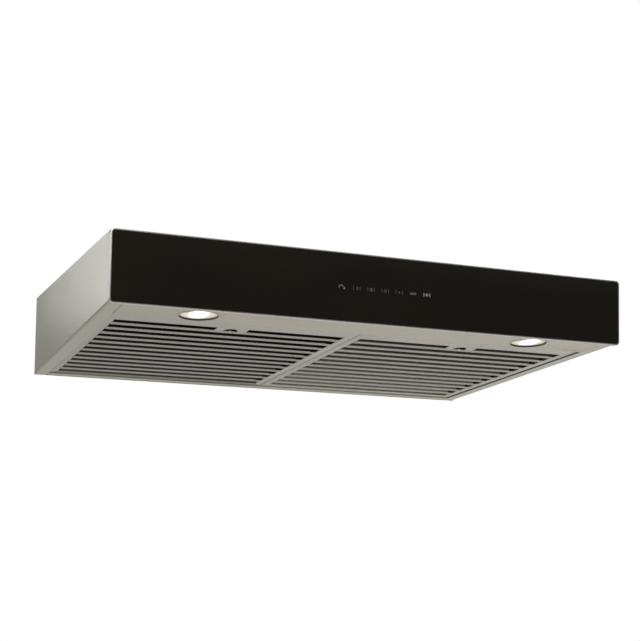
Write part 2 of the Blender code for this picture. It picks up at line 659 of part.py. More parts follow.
def build_upper_baffles(side, x, guide):
    """Inverted channels above the slots, which the air has to turn round."""
    half = FILTER_HALF_WIDTH - 0.0013
    opening = FILTER_HALF_WIDTH - FILTER_RAIL
    reach = 0.0105
    start = FIRST_SLOT - reach
    end = slot_station(SLOT_COUNT - 1) + reach
    baffles = block(f"filter_baffles_{side}", (x - half, start, 0.0078), (x + half, end, 0.0118),
                    STEEL, guide)
    gaps = []
    troughs = []
    for number in range(SLOT_COUNT):
        middle = slot_station(number)
        troughs.append(((x - opening, middle - reach + 0.0008, 0.0050),
                        (x + opening, middle + reach - 0.0008, 0.0110)))
        if number < SLOT_COUNT - 1:
            gaps.append(((x - opening, middle + reach, 0.0), (x + opening, middle + SLOT_PITCH - reach,
                                                             0.02)))
    cut(baffles, blocks(f"baffle_gaps_{side}", gaps, None, guide))
    cut(baffles, blocks(f"baffle_troughs_{side}", troughs, None, guide))


def oval_cutter(name, x, station, radius_x, radius_y, low, high, guide):
    builder = bmesh.new()
    stretch = Matrix.Diagonal((radius_x, radius_y, 1.0, 1.0))
    bmesh.ops.create_cone(builder, cap_ends=True, segments=24, radius1=1.0, radius2=1.0,
                          depth=high - low,
                          matrix=Matrix.Translation((x, station, (low + high) / 2)) @ stretch)
    return place(name, mesh_from(name, builder), None, guide)


def build_latch(side, x, guide):
    """A bridge that closes the middle of the first slot, a sliding latch plate above it and its
    spring. The bridge is cranked up over the frame's front flange."""
    front = FIRST_SLOT - SLOT_GAP / 2 + GAP
    rear = FIRST_SLOT + SLOT_GAP / 2 - GAP
    half = BRIDGE_HALF_WIDTH
    bridge = block(f"latch_bridge_{side}", (x - half, front, 0.0), (x + half, rear, 0.0008), STEEL,
                   guide)
    join(bridge, block(f"bridge_crank_{side}", (x - half, front, 0.0), (x + half, front + 0.0010, 0.0019),
                       None, guide))
    join(bridge, block(f"bridge_foot_{side}", (x - half, front - 0.0045, 0.0011),
                       (x + half, front + 0.0010, 0.0019), None, guide))
    cut(bridge, oval_cutter(f"finger_hole_{side}", x, FIRST_SLOT, 0.0102, 0.0066, -0.01, 0.01, guide))
    latch = block(f"filter_latch_{side}", (x - 0.015, LATCH_FRONT, 0.0036),
                  (x + 0.015, LATCH_FRONT + LATCH_LENGTH, 0.0046), ZINC, guide)
    join(latch, block(f"latch_tongue_{side}", (x - 0.006, FILTER_FRONT + 0.0002, 0.0036),
                      (x + 0.006, LATCH_FRONT + 0.0010, 0.0046), None, guide))
    cut(latch, block(f"finger_window_{side}", (x - 0.0095, FIRST_SLOT - 0.0055, 0.0),
                     (x + 0.0095, FIRST_SLOT + 0.0005, 0.01), None, guide))
    turns = 10
    per_turn = 7
    start, end = 0.0650, LATCH_FRONT - 0.0006
    coil = []
    for step in range(turns * per_turn + 1):
        angle = math.tau * step / per_turn
        along = start + (end - start) * step / (turns * per_turn)
        coil.append((x + 0.0110 + 0.0016 * math.cos(angle), along, 0.0042 + 0.0016 * math.sin(angle)))
    cable(f"latch_spring_{side}", coil, 0.00025, 0, guide, ZINC)


# ---------------------------------------------------------------- assembly
underside = underside_empty()
filter_plane = filter_empty(underside)
top = build_top_panel()
for side_name, side_sign in SIDES:
    build_side_panel(side_name, side_sign)
    build_lamp(side_name, side_sign, underside)
    filter_x = side_sign * FILTER_X
    build_filter_frame(side_name, filter_x, filter_plane)
    build_lower_slats(side_name, filter_x, filter_plane)
    build_upper_baffles(side_name, filter_x, filter_plane)
    build_latch(side_name, filter_x, filter_plane)
build_rear_panel()
build_rear_rail(underside)
build_light_panel(underside)
build_fascia()
build_controls()
build_lamp_cables()
build_wiring_box()
build_scroll()
build_base_plate(top)
build_plenum()
build_wheel_and_motor()
build_collar(top)
build_damper()
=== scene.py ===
"""The looks of an under cabinet range hood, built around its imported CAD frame.

Metres, +Z up, the origin at the centre of the top mounting face, the fascia facing -Y. Pieces in
the sloping underside are drawn in its own coordinates: x across the hood, station back along the
underside from its front edge, and height square up from it into the hood.
"""

import math

import bmesh
import bpy
from mathutils import Matrix, Vector


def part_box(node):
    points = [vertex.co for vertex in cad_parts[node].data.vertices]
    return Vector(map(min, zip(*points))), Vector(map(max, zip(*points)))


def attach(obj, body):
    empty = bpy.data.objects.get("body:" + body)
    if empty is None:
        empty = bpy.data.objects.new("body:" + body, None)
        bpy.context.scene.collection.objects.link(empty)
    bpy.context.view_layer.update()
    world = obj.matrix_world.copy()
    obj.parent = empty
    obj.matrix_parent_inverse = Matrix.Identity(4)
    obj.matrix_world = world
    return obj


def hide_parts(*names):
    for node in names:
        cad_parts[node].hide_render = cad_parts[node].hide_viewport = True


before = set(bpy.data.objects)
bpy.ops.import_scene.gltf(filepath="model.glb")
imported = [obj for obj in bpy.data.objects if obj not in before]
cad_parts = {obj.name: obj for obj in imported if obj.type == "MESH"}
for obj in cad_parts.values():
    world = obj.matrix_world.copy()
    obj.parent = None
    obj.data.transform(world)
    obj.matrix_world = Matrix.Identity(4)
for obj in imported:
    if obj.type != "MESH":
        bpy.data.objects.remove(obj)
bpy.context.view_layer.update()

# ---------------------------------------------------------------- sizes
SIDES = (("left", -1), ("right", 1))
GAP = 0.0003
SHEET = 0.0010
OVERHANG = 0.0015
RIM = 0.002
CUT_REACH = 0.01
FOLD_CREASE = 25.0
EDGE_CREASE = 40.0
GLASS_CREASE = 50.0

FASCIA_LOW, FASCIA_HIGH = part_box("front_frame")
REAR_LOW, REAR_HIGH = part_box("rear_panel")
BODY_FRONT_Y = FASCIA_HIGH.y + GAP
BODY_BOTTOM_Z = FASCIA_LOW.z + OVERHANG
BODY_HALF_WIDTH = REAR_HIGH.x
BODY_REAR_Y = REAR_LOW.y - GAP
TILT = math.atan2(BODY_BOTTOM_Z - REAR_LOW.z, REAR_HIGH.y - BODY_FRONT_Y)

FLANGE = 0.0189
OUTER_FOLD = 0.0045
INNER_FOLD = 0.0011
SIDE_LIP = 0.009
LIP_LIT = 0.0009
STRIP_HALF_WIDTH = BODY_HALF_WIDTH - FLANGE - GAP
STRIP_FOLD = 0.0014
LIGHT_PANEL_FRONT = 0.0006
LIGHT_PANEL_REAR = 0.0627
LIGHT_PANEL_FRONT_LIP = 0.020
LIGHT_PANEL_REAR_LIP = 0.010
REAR_RAIL_FRONT = 0.4972
REAR_RAIL_REAR = 0.5095
REAR_RAIL_FRONT_LIP = 0.009
REAR_RAIL_REAR_LIP = 0.012

LAMP_X = 0.25
LAMP_STATION = 0.0317
LAMP_HOLE = 0.0263
LAMP_STEPS = 96
LIT_CENTRE_SIDEWAYS = 0.002
LIT_CENTRE_FORWARD = 0.008
LIT_INNER = 0.004
LIT_OUTER = 0.0145
LIT_STRENGTH = 3.2
LIT_RIM_STRENGTH = 0.36
LIT_COLOUR = (1.0, 0.95, 0.84)

FASCIA_CORNER = 0.0055
GLASS_CORNER = 0.0035
SMALLEST_CORNER = 0.0008
ICON_COUNT = 7
ICON_PITCH = 0.0211
ICON_MIDDLE_X = 0.0015
ICON_MIDDLE_Z = -0.0479
ICON_FACE_Y = FASCIA_LOW.y + 0.00002
ICON_BACK_Y = FASCIA_LOW.y + 0.0002

FILTER_X = 0.1795
FILTER_HALF_WIDTH = 0.1789
FILTER_FRONT = 0.0632
FILTER_REAR = 0.4955
FILTER_RECESS = 0.0020
FILTER_RAIL = 0.012
CHANNEL_SHEET = 0.0007
CHANNEL_FOLD = 0.0009
CHANNEL_WALL = 0.0130
CHANNEL_TOP_FLANGE = 0.0062
CHANNEL_LIP = 0.0040
CHANNEL_FRONT_LIP = 0.0018
SLOT_COUNT = 13
SLOT_PITCH = 0.03045
SLOT_GAP = 0.017
FIRST_SLOT = 0.1068
SLAT_SHEET = 0.0007
SLAT_LOW = 0.0001
SLAT_HIGH = 0.0060
SLAT_FOLD = 0.0011
SLAT_CLEARANCE = 0.0001
FLAT_INSET = 0.0008
FLAT_OVERLAP = 0.0004
LIP_RELIEF = 0.0095
TAB_SHEET = 0.0008
TAB_OFFSET = 0.09
TAB_HALF_WIDTH = 0.012
TAB_REACH = 0.0074
TAB_HEIGHT = 0.0079
BRIDGE_SHEET = 0.0008
BRIDGE_HALF_WIDTH = 0.023
BRIDGE_RISE = 0.0011
BRIDGE_STEP = 0.0008
BRIDGE_OVERLAP = 0.0045
BRIDGE_FOLD = 0.0003
FINGER_HALF_WIDTH = 0.0104
FINGER_REACH = 0.0138
FINGER_SETBACK = 0.0007
FINGER_ZONE = 0.012
TONGUE_HALF_WIDTH = 0.0018
TONGUE_REACH = 0.0034
TONGUE_TAPER = 0.6
WINDOW_HALF_WIDTH = 0.0065
WINDOW_LOW = 0.0031
WINDOW_HIGH = 0.0051

# ---------------------------------------------------------------- material, light and camera
STREAKS_ACROSS = 2600.0
STREAKS_ALONG = 12.0
GLOW_STRETCH = (1.0, 0.55, 0.55)
FLOOR_RADIUS = 3.4
FLOOR_PLACE = (0.0, 0.2, -0.95)
WORLD_FRONT = 0.06
WORLD_BACK = 0.27
WORLD_TOP = 0.3
CAMERA_PLACE = (-0.76158, -1.91622, -0.40994)
CAMERA_TURN = (0.38469, 0.07963, 0.01411)
CAMERA_LENS = 76.0
CAMERA_SHIFT = 0.2


def under(x, station, height):
    """A point on the sloping underside, in the row frame."""
    return Vector((x, BODY_FRONT_Y + station * math.cos(TILT) + height * math.sin(TILT),
                   BODY_BOTTOM_Z - station * math.sin(TILT) + height * math.cos(TILT)))


def in_filter(x, station, height):
    """A point on the grease filters' own plane, which lies a little inside the underside."""
    return under(x, station, height + FILTER_RECESS)


FILTER_ORIGIN = in_filter(0.0, 0.0, 0.0)
FILTER_REARWARD = (in_filter(0.0, 1.0, 0.0) - FILTER_ORIGIN).normalized()
FILTER_INWARD = (in_filter(0.0, 0.0, 1.0) - FILTER_ORIGIN).normalized()


# ---------------------------------------------------------------- material building
class Nodes:
    """Short ways to build one material's node tree."""

    def __init__(self, name):
        self.material = bpy.data.materials.new(name)
        self.material.use_nodes = True
        self.tree = self.material.node_tree
        self.shader = self.tree.nodes["Principled BSDF"]

    def add(self, kind, **settings):
        node = self.tree.nodes.new(kind)
        for key, value in settings.items():
            setattr(node, key, value)
        return node

    def wire(self, output, target):
        self.tree.links.new(output, target)

    def place_in(self, stretch):
        """Object coordinates, scaled."""
        coordinates = self.add("ShaderNodeTexCoord")
        mapping = self.add("ShaderNodeMapping")
        mapping.inputs["Scale"].default_value = stretch
        self.wire(coordinates.outputs["Object"], mapping.inputs["Vector"])
        return mapping.outputs["Vector"]

    def noise(self, stretch, scale=1.0, detail=3.0, roughness=0.5):
        node = self.add("ShaderNodeTexNoise")
        node.inputs["Scale"].default_value = scale
        node.inputs["Detail"].default_value = detail
        node.inputs["Roughness"].default_value = roughness
        self.wire(self.place_in(stretch), node.inputs["Vector"])
        return node.outputs["Fac"]

    def spread(self, value, low, high, start=0.3, end=0.7):
        """Map a noise value onto a range."""
        node = self.add("ShaderNodeMapRange")
        node.inputs["From Min"].default_value = start
        node.inputs["From Max"].default_value = end
        node.inputs["To Min"].default_value = low
        node.inputs["To Max"].default_value = high
        self.wire(value, node.inputs["Value"])
        return node.outputs["Result"]

    def blend(self, value, first, second):
        node = self.add("ShaderNodeMix", data_type="RGBA")
        node.inputs["A"].default_value = (*first, 1.0)
        node.inputs["B"].default_value = (*second, 1.0)
        self.wire(value, node.inputs["Factor"])
        return node.outputs["Result"]

    def bump(self, value, strength, distance):
        node = self.add("ShaderNodeBump")
        node.inputs["Strength"].default_value = strength
        node.inputs["Distance"].default_value = distance
        self.wire(value, node.inputs["Height"])
        self.wire(node.outputs["Normal"], self.shader.inputs["Normal"])

    def set(self, **values):
        for key, value in values.items():
            self.shader.inputs[key.replace("_", " ")].default_value = value
        return self


def shades(colour, amount):
    """A darker and a lighter colour on either side of one."""
    darker = tuple(channel * (1 - amount) for channel in colour)
    lighter = tuple(min(1.0, channel * (1 + amount)) for channel in colour)
    return darker, lighter


def brushed(name, colour, roughness, grain, contrast=0.05):
    """Sheet metal with fine straight brushing along the grain axis (0 for X, 1 for Y)."""
    made = Nodes(name)
    stretch = [STREAKS_ACROSS] * 3
    stretch[grain] = STREAKS_ALONG
    streaks = made.noise(tuple(stretch), detail=4.0, roughness=0.65)
    clouds = made.noise((9.0, 9.0, 9.0), detail=2.0)
    darker, lighter = shades(colour, contrast)
    made.wire(made.blend(made.spread(streaks, 0.0, 1.0), darker, lighter),
              made.shader.inputs["Base Color"])
    soft = made.spread(clouds, roughness - 0.03, roughness + 0.03)
    fine = made.spread(streaks, -0.04, 0.04)
    total = made.add("ShaderNodeMath", operation="ADD")
    made.wire(soft, total.inputs[0])
    made.wire(fine, total.inputs[1])
    made.wire(total.outputs["Value"], made.shader.inputs["Roughness"])
    made.bump(streaks, 0.12, 0.0001)
    return made.set(Metallic=1.0).material


def shaded_lip(name, front, rear):
    """Steel for the slats' folded lips, with painted shade: one colour in front that turns into
    another, paler with painted light, at the rear.
    """
    made = Nodes(name)
    coordinates = made.add("ShaderNodeTexCoord")
    split = made.add("ShaderNodeSeparateXYZ")
    made.wire(coordinates.outputs["Object"], split.inputs["Vector"])
    depth = made.spread(split.outputs["Y"], 0.0, 1.0, FASCIA_LOW.y + 0.15, REAR_LOW.y)
    # Uneven patches of more and less painted shade, which also vary the roughness.
    grime_and_shade_patches = made.spread(made.noise((60.0, 900.0, 900.0)), -0.12, 0.12)
    total = made.add("ShaderNodeMath", operation="ADD", use_clamp=True)
    made.wire(depth, total.inputs[0])
    made.wire(grime_and_shade_patches, total.inputs[1])
    made.wire(made.blend(total.outputs["Value"], front, rear), made.shader.inputs["Base Color"])
    made.wire(made.spread(grime_and_shade_patches, 0.45, 0.6, -0.12, 0.12), made.shader.inputs["Roughness"])
    return made.set(Metallic=1.0).material


def galvanised(name, colour):
    """Zinc coated sheet with flat crystals."""
    made = Nodes(name)
    cells = made.add("ShaderNodeTexVoronoi")
    cells.inputs["Scale"].default_value = 1.0
    made.wire(made.place_in((120.0, 120.0, 120.0)), cells.inputs["Vector"])
    split = made.add("ShaderNodeSeparateColor")
    made.wire(cells.outputs["Color"], split.inputs["Color"])
    darker, lighter = shades(colour, 0.14)
    made.wire(made.blend(split.outputs["Red"], darker, lighter), made.shader.inputs["Base Color"])
    made.wire(made.spread(split.outputs["Green"], 0.38, 0.55, 0.0, 1.0),
              made.shader.inputs["Roughness"])
    made.bump(made.noise((300.0, 300.0, 300.0)), 0.08, 0.0002)
    return made.set(Metallic=1.0).material


def grained(name, colour, roughness, metallic=0.0, size=900.0, contrast=0.08, depth=0.2):
    """Moulded plastic, paint, plating or rubber with a fine even grain."""
    made = Nodes(name)
    grain = made.noise((size, size, size))
    darker, lighter = shades(colour, contrast)
    made.wire(made.blend(made.spread(grain, 0.0, 1.0), darker, lighter),
              made.shader.inputs["Base Color"])
    made.wire(made.spread(grain, roughness - 0.05, roughness + 0.05),
              made.shader.inputs["Roughness"])
    made.bump(grain, depth, 0.0001)
    return made.set(Metallic=metallic).material


def black_glass(name):
    """Back painted glass: near black, glossy, with the faintest wiping marks."""
    made = Nodes(name)
    clouds = made.noise((6.0, 6.0, 14.0), detail=2.0)
    made.wire(made.blend(made.spread(clouds, 0.0, 1.0), (0.019, 0.0168, 0.0126),
                         (0.023, 0.0198, 0.0150)), made.shader.inputs["Base Color"])
    made.wire(made.spread(clouds, 0.05, 0.09), made.shader.inputs["Roughness"])
    return made.set(IOR=1.3).material


def glowing(name, colour, strength, falloff_centre, inner, outer, rim_strength):
    """A lit diffuser, brightest round a centre, with its glow drawn out from front to rear."""
    made = Nodes(name)
    middle = made.add("ShaderNodeVectorMath", operation="DISTANCE")
    middle.inputs[1].default_value = [a * b for a, b in zip(falloff_centre, GLOW_STRETCH)]
    made.wire(made.place_in(GLOW_STRETCH), middle.inputs[0])
    glow = made.spread(middle.outputs["Value"], strength, rim_strength, inner, outer)
    made.wire(glow, made.shader.inputs["Emission Strength"])
    frost = made.noise((2500.0, 2500.0, 2500.0))
    made.wire(made.spread(frost, 0.25, 0.4), made.shader.inputs["Roughness"])
    made.wire(made.blend(made.spread(frost, 0.0, 1.0), (0.70, 0.67, 0.55), (0.78, 0.75, 0.64)),
              made.shader.inputs["Base Color"])
    made.shader.inputs["Emission Color"].default_value = (*colour, 1.0)
    return made.material


def printed(name, colour, strength):
    """A symbol lit from behind the glass."""
    made = Nodes(name)
    speckle = made.noise((4000.0, 4000.0, 4000.0))
    made.wire(made.spread(speckle, strength * 0.7, strength),
              made.shader.inputs["Emission Strength"])
    made.wire(made.spread(speckle, 0.2, 0.35), made.shader.inputs["Roughness"])
    made.shader.inputs["Emission Color"].default_value = (*colour, 1.0)
    made.shader.inputs["Base Color"].default_value = (0.02, 0.02, 0.02, 1.0)
    return made.material


def circuit_board(name):
    """Green solder mask with paler lines where the tracks run."""
    made = Nodes(name)
    tracks = made.add("ShaderNodeTexVoronoi", feature="DISTANCE_TO_EDGE")
    tracks.inputs["Scale"].default_value = 1.0
    made.wire(made.place_in((180.0, 180.0, 180.0)), tracks.inputs["Vector"])
    made.wire(made.blend(made.spread(tracks.outputs["Distance"], 1.0, 0.0, 0.0, 0.12),
                         (0.015, 0.11, 0.05), (0.05, 0.24, 0.11)), made.shader.inputs["Base Color"])
    made.bump(made.noise((700.0, 700.0, 700.0)), 0.1, 0.0001)
    return made.set(Roughness=0.35).material


STEEL_SIDE = brushed("steel_side", (0.70, 0.69, 0.605), 0.36, 1)
STEEL_ACROSS = brushed("steel_across", (0.70, 0.670, 0.572), 0.36, 0)
# A paler steel for the fascia rim: partly its polish, partly a painted highlight on its edge.
STEEL_RIM_HIGHLIGHT = brushed("steel_rim_highlight", (0.92, 0.91, 0.86), 0.34, 0, 0.03)
STEEL_FILTER = brushed("steel_filter", (0.50, 0.485, 0.445), 0.34, 0)
STEEL_RAIL = brushed("steel_filter_rail", (0.64, 0.625, 0.59), 0.34, 1)
# A darker steel that is painted shade, for the left filter's rear flange.
STEEL_SHADED_FLANGE = brushed("steel_shaded_flange", (0.34, 0.33, 0.305), 0.4, 0)
# A dark steel that is painted shade, for the baffles and the side panels' inner lips.
STEEL_DEEP_SHADE = brushed("steel_deep_shade", (0.13, 0.125, 0.115), 0.5, 0)
# The lips' steels hold painted shade in front and painted light at the rear; the right filter's
# copy is paler, with more painted light.
STEEL_SHADE = shaded_lip("steel_shaded_lip", (0.030, 0.028, 0.025), (0.26, 0.255, 0.24))
STEEL_PALE_SHADE = shaded_lip("steel_lit_lip", (0.20, 0.19, 0.17), (0.80, 0.77, 0.70))
ZINC_SHEET = galvanised("galvanised_sheet", (0.50, 0.51, 0.52))
GLASS = black_glass("black_glass")
LAMP_RING = grained("lamp_ring", (0.68, 0.66, 0.60), 0.36, 1.0, 1500.0, 0.03, 0.05)
# The lamp well's dark brown is painted shade, with a warm cast from the lamp.
LAMP_WELL_SHADE = grained("lamp_well", (0.075, 0.043, 0.018), 0.45, 0.0, 1500.0, 0.08, 0.1)
CAST = grained("cast_aluminium", (0.55, 0.55, 0.56), 0.5, 1.0, 500.0, 0.08, 0.3)
BOARD = circuit_board("circuit_board")
BLACK = grained("black_plastic", (0.02, 0.02, 0.021), 0.45)
WHITE = grained("white_plastic", (0.72, 0.71, 0.68), 0.4)
SHEATH = grained("cable_sheath", (0.06, 0.06, 0.065), 0.55, 0.0, 600.0, 0.1, 0.3)
PLATED = grained("zinc_plated", (0.66, 0.66, 0.64), 0.32, 1.0, 800.0, 0.06, 0.1)
PAINT = grained("motor_paint", (0.06, 0.06, 0.065), 0.45, 0.2, 600.0, 0.1, 0.2)
ICON_BRIGHT = printed("icon_bright", (1.0, 0.97, 0.92), 0.20)
ICON_DIM = printed("icon_dim", (1.0, 0.97, 0.92), 0.075)


# ---------------------------------------------------------------- mesh building
def finish_mesh(name, builder, material, body, replaced=(), smooth=32.0):
    """Turn a bmesh into a piece that rides on a body and may replace CAD nodes."""
    bmesh.ops.recalc_face_normals(builder, faces=builder.faces)
    mesh = bpy.data.meshes.new(name)
    builder.to_mesh(mesh)
    builder.free()
    mesh.shade_smooth()
    mesh.set_sharp_from_angle(angle=math.radians(smooth))
    mesh.materials.append(material)
    piece = bpy.data.objects.new(name, mesh)
    bpy.context.scene.collection.objects.link(piece)
    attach(piece, body)
    if replaced:
        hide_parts(*replaced)
    return piece


def repaint(piece, material, chosen):
    """Give the faces that the test chooses a second material."""
    piece.data.materials.append(material)
    for face in piece.data.polygons:
        if chosen(face):
            face.material_index = 1


def rounded_path(points, radius, pieces=5):
    """An open outline with its inner corners turned into arcs, of one radius or one for each."""
    radii = radius if isinstance(radius, tuple) else (radius,) * len(points)
    path = [Vector(points[0])]
    for before, corner, after, bend in zip(points, points[1:], points[2:], radii):
        corner = Vector(corner)
        back = (Vector(before) - corner).normalized()
        ahead = (Vector(after) - corner).normalized()
        half = back.angle(ahead) / 2
        centre = corner + (back + ahead).normalized() * bend / math.sin(half)
        start = corner + back * bend / math.tan(half) - centre
        end = corner + ahead * bend / math.tan(half) - centre
        sweep = math.atan2(start.x * end.y - start.y * end.x, start.dot(end))
        for step in range(pieces + 1):
            turn = sweep * step / pieces
            path.append(centre + Vector((start.x * math.cos(turn) - start.y * math.sin(turn),
                                         start.x * math.sin(turn) + start.y * math.cos(turn))))
    path.append(Vector(points[-1]))
    return path


def thick_outline(path, thickness):
    """A closed outline: the path, and back along a copy of it set off to its left."""
    inner = []
    for index, point in enumerate(path):
        steps = []
        if index:
            steps.append((point - path[index - 1]).normalized())
        if index < len(path) - 1:
            steps.append((path[index + 1] - point).normalized())
        along = sum(steps, Vector((0.0, 0.0))).normalized()
        left = Vector((-along.y, along.x))
        inner.append(point + left * thickness / max(0.2, along.dot(steps[0])))
    return list(path) + inner[::-1]


def join_loops(builder, loops, caps=True, closed=False):
    """Skin over loops of equal length. Closed joins the last loop to the first."""
    rings = [[builder.verts.new(point) for point in loop] for loop in loops]
    pairs = list(zip(rings, rings[1:]))
    if closed:
        pairs.append((rings[-1], rings[0]))
    for first, second in pairs:
        for index in range(len(first)):
            following = (index + 1) % len(first)
            builder.faces.new((first[index], first[following], second[following], second[index]))
    if caps and not closed:
        builder.faces.new(rings[0])
        builder.faces.new(rings[-1])


def folded_strip(builder, path, thickness, x_low, x_high, place=under):
    """A folded sheet of constant section, drawn across the underside."""
    outline = thick_outline(path, thickness)
    loops = [[place(x, point.x, point.y) for point in outline] for x in (x_low, x_high)]
    join_loops(builder, loops)


def turned_piece(builder, profile, x, station, steps=72):
    """A closed profile of (radius, height), turned about an axis square to the underside."""
    loops = []
    for step in range(steps):
        turn = math.tau * step / steps
        loops.append([under(x + radius * math.cos(turn), station + radius * math.sin(turn), height)
                      for radius, height in profile])
    join_loops(builder, loops, closed=True)


def turned_disc(builder, profile, x, station, steps=72):
    """A profile from the axis out and back to the axis, turned into a closed disc."""
    rings = []
    for radius, height in profile[1:-1]:
        rings.append([builder.verts.new(under(x + radius * math.cos(math.tau * step / steps),
                                              station + radius * math.sin(math.tau * step / steps),
                                              height)) for step in range(steps)])
    for first, second in zip(rings, rings[1:]):
        for index in range(steps):
            following = (index + 1) % steps
            builder.faces.new((first[index], first[following], second[following], second[index]))
    for tip, ring in ((profile[0], rings[0]), (profile[-1], rings[-1])):
        middle = builder.verts.new(under(x, station, tip[1]))
        for index in range(steps):
            builder.faces.new((middle, ring[index], ring[(index + 1) % steps]))


def rounded_rectangle(half_width, low, high, radius, pieces=8):
    """Corner-rounded outline in X and Z."""
    corners = ((half_width, high, 0), (-half_width, high, 90), (-half_width, low, 180),
               (half_width, low, 270))
    points = []
    for x, z, start in corners:
        centre_x = x - math.copysign(radius, x)
        centre_z = z - radius if z == high else z + radius
        for step in range(pieces + 1):
            angle = math.radians(start + 90 * step / pieces)
            points.append((centre_x + radius * math.cos(angle),
                           centre_z + radius * math.sin(angle)))
    return points


def cut_with(piece, builder_of_cutter):
    """Cut a piece with a closed shape, for good."""
    bmesh.ops.recalc_face_normals(builder_of_cutter, faces=builder_of_cutter.faces)
    cutter_mesh = bpy.data.meshes.new("cutter")
    builder_of_cutter.to_mesh(cutter_mesh)
    builder_of_cutter.free()
    cutter = bpy.data.objects.new("cutter", cutter_mesh)
    bpy.context.scene.collection.objects.link(cutter)
    change = piece.modifiers.new("cut", "BOOLEAN")
    change.object = cutter
    change.operation = "DIFFERENCE"
    bpy.context.view_layer.update()
    graph = bpy.context.evaluated_depsgraph_get()
    made = bpy.data.meshes.new_from_object(piece.evaluated_get(graph))
    piece.modifiers.clear()
    piece.data = made
    bpy.data.objects.remove(cutter)


# ---------------------------------------------------------------- casing
def side_bottom(y):
    """The height of the side panels' sloping bottom edge."""
    return BODY_BOTTOM_Z - (y - BODY_FRONT_Y) * math.tan(TILT)


def make_side_panel(side, sign):
    """A folded side with its bottom flange and inner lip. Above its lit edge the lip is painted
    dark, as painted shade.
    """
    outer = BODY_HALF_WIDTH
    inner = outer - FLANGE
    loops = []
    for y in (BODY_FRONT_Y, BODY_REAR_Y):
        bottom = side_bottom(y)
        points = [(sign * outer, 0.0), (sign * outer, bottom), (sign * inner, bottom),
                  (sign * inner, bottom + SIDE_LIP)]
        radii = (OUTER_FOLD, INNER_FOLD)
        if sign > 0:
            points.reverse()
            radii = radii[::-1]
        path = rounded_path(points, radii, 12)
        path.insert(1 if sign > 0 else len(path) - 1, Vector((sign * inner, bottom + LIP_LIT)))
        outline = thick_outline(path, SHEET)
        loops.append([(point.x, y, point.y) for point in outline])
    builder = bmesh.new()
    join_loops(builder, loops)
    panel = finish_mesh(f"{side}_side_sheet", builder, STEEL_SIDE, "hood",
                        [f"{side}_side_panel"], FOLD_CREASE)
    # The inner lip above its lit edge gets the dark steel as painted shade.
    repaint(panel, STEEL_DEEP_SHADE,
            lambda face: abs(face.center.x) < inner + SHEET / 2
            and face.center.z > side_bottom(face.center.y) + LIP_LIT)


def make_cross_strip(name, node, front, rear, front_lip, rear_lip):
    """A strip across the underside, with a lip folded up along its front and its rear edge."""
    path = rounded_path([(front, front_lip), (front, 0.0), (rear, 0.0), (rear, rear_lip)],
                        STRIP_FOLD, 5)
    builder = bmesh.new()
    folded_strip(builder, path, SHEET, -STRIP_HALF_WIDTH, STRIP_HALF_WIDTH)
    return finish_mesh(name, builder, STEEL_ACROSS, "hood", [node])


def make_light_panel():
    """The strip in front of the filters, with a round hole for each lamp."""
    piece = make_cross_strip("light_panel_sheet", "light_panel", LIGHT_PANEL_FRONT,
                             LIGHT_PANEL_REAR, LIGHT_PANEL_FRONT_LIP, LIGHT_PANEL_REAR_LIP)
    for _, sign in SIDES:
        cutter = bmesh.new()
        turned_disc(cutter, [(0.0, CUT_REACH), (LAMP_HOLE, CUT_REACH), (LAMP_HOLE, -CUT_REACH),
                             (0.0, -CUT_REACH)], sign * LAMP_X, LAMP_STATION)
        cut_with(piece, cutter)


def make_rear_rail():
    """The strip behind the filters, on whose front lip their tabs hang."""
    make_cross_strip("rear_rail_sheet", "rear_rail", REAR_RAIL_FRONT, REAR_RAIL_REAR,
                     REAR_RAIL_FRONT_LIP, REAR_RAIL_REAR_LIP)


# ---------------------------------------------------------------- fascia
def slab_loops(half_width, low, high, radius, stations):
    """Rounded rectangle loops, each inset by its own amount at its own Y."""
    loops = []
    for inset, y in stations:
        corner = max(SMALLEST_CORNER, radius - inset)
        loops.append([(x, y, z) for x, z in
                      rounded_rectangle(half_width - inset, low + inset, high - inset, corner)])
    return loops


def make_fascia_frame():
    """A tray with a thin bright rim, in which the glass lies. The rim's pale steel is partly its
    polish, partly a painted highlight.
    """
    front, back = FASCIA_LOW.y, FASCIA_HIGH.y
    stations = [(0.0004, back), (0.0, back - 0.0006), (0.0, front + 0.0007),
                (0.0002, front + 0.0002), (0.0006, front), (RIM - 0.0002, front),
                (RIM, front + 0.0003), (RIM, back - SHEET)]
    builder = bmesh.new()
    join_loops(builder, slab_loops(FASCIA_HIGH.x, FASCIA_LOW.z, FASCIA_HIGH.z, FASCIA_CORNER,
                                   stations))
    finish_mesh("fascia_frame", builder, STEEL_RIM_HIGHLIGHT, "hood", ["front_frame"],
                EDGE_CREASE)


def make_glass():
    """The glass, with its front edge eased."""
    low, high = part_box("glass_panel")
    face = low.y + 0.0001
    stations = [(0.0, high.y), (0.0, face + 0.0005), (0.0002, face + 0.0001), (0.0005, face)]
    builder = bmesh.new()
    join_loops(builder, slab_loops(high.x, low.z, high.z, GLASS_CORNER, stations))
    finish_mesh("glass_sheet", builder, GLASS, "hood", ["glass_panel"], EDGE_CREASE)


def icon_bar(builder, x, z, width, height):
    """A thin printed bar with rounded ends, flat on the glass."""
    radius = min(width, height) / 2
    points = []
    for centre_x, centre_z, start in ((width / 2 - radius, height / 2 - radius, 0),
                                      (radius - width / 2, height / 2 - radius, 90),
                                      (radius - width / 2, radius - height / 2, 180),
                                      (width / 2 - radius, radius - height / 2, 270)):
        for step in range(4):
            angle = math.radians(start + 30 * step)
            points.append((centre_x + radius * math.cos(angle),
                           centre_z + radius * math.sin(angle)))
    join_loops(builder, [[(x + across, y, z + up) for across, up in points]
                         for y in (ICON_BACK_Y, ICON_FACE_Y)])


